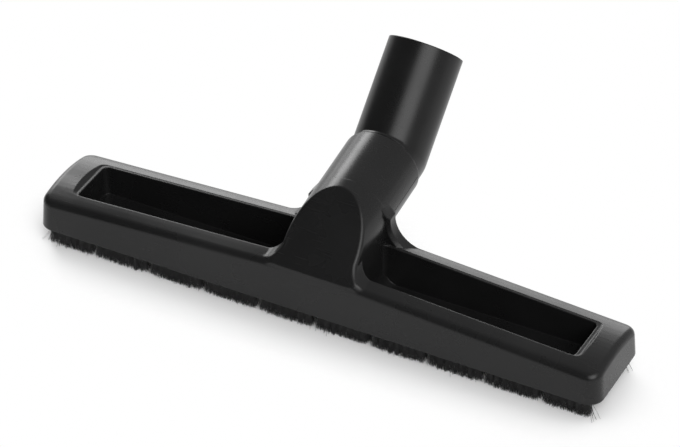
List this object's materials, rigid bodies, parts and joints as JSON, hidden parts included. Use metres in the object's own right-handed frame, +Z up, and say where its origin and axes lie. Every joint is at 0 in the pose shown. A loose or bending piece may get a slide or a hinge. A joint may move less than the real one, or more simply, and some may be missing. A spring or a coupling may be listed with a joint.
{
  "type": "vacuum floor nozzle",
  "caption": "Wide floor nozzle for a vacuum cleaner: black moulded housing with open trays, bristle strips all round the underside and a turning elbow that takes the wand.",
  "frame": {"origin": "on the floor under the middle of the bounding box", "axes": "X along the nozzle, Y from the front wall to the neck, Z up; the bristle tips are at Z = 0"},
  "size_m": [0.3, 0.1364, 0.1004],
  "materials": {
    "housing": "satin moulded, black",
    "tube": "satin moulded, black",
    "strip": "moulded, black",
    "bristle": "nylon hair, black"
  },
  "bodies": {
    "housing": {"body": "housing", "front_strip": "strip", "rear_strip": "strip", "left_strip": "strip", "right_strip": "strip", "front_bristles_1": "bristle", "front_bristles_2": "bristle", "front_bristles_3": "bristle", "front_bristles_4": "bristle", "front_bristles_5": "bristle", "front_bristles_6": "bristle", "front_bristles_7": "bristle", "front_bristles_8": "bristle", "front_bristles_9": "bristle", "front_bristles_10": "bristle", "rear_bristles_1": "bristle", "rear_bristles_2": "bristle", "rear_bristles_3": "bristle", "rear_bristles_4": "bristle", "rear_bristles_5": "bristle", "rear_bristles_6": "bristle", "rear_bristles_7": "bristle", "rear_bristles_8": "bristle", "rear_bristles_9": "bristle", "rear_bristles_10": "bristle", "left_bristles": "bristle", "right_bristles": "bristle"},
    "elbow": {"elbow": "tube"}
  },
  "joints": [
    {"name": "elbow_swivel", "type": "hinge", "parent": "housing", "child": "elbow", "pos_m": [0, 0.00853, 0.04905], "axis": [0, 0.9905, 0.1374], "continuous": true}
  ]
}
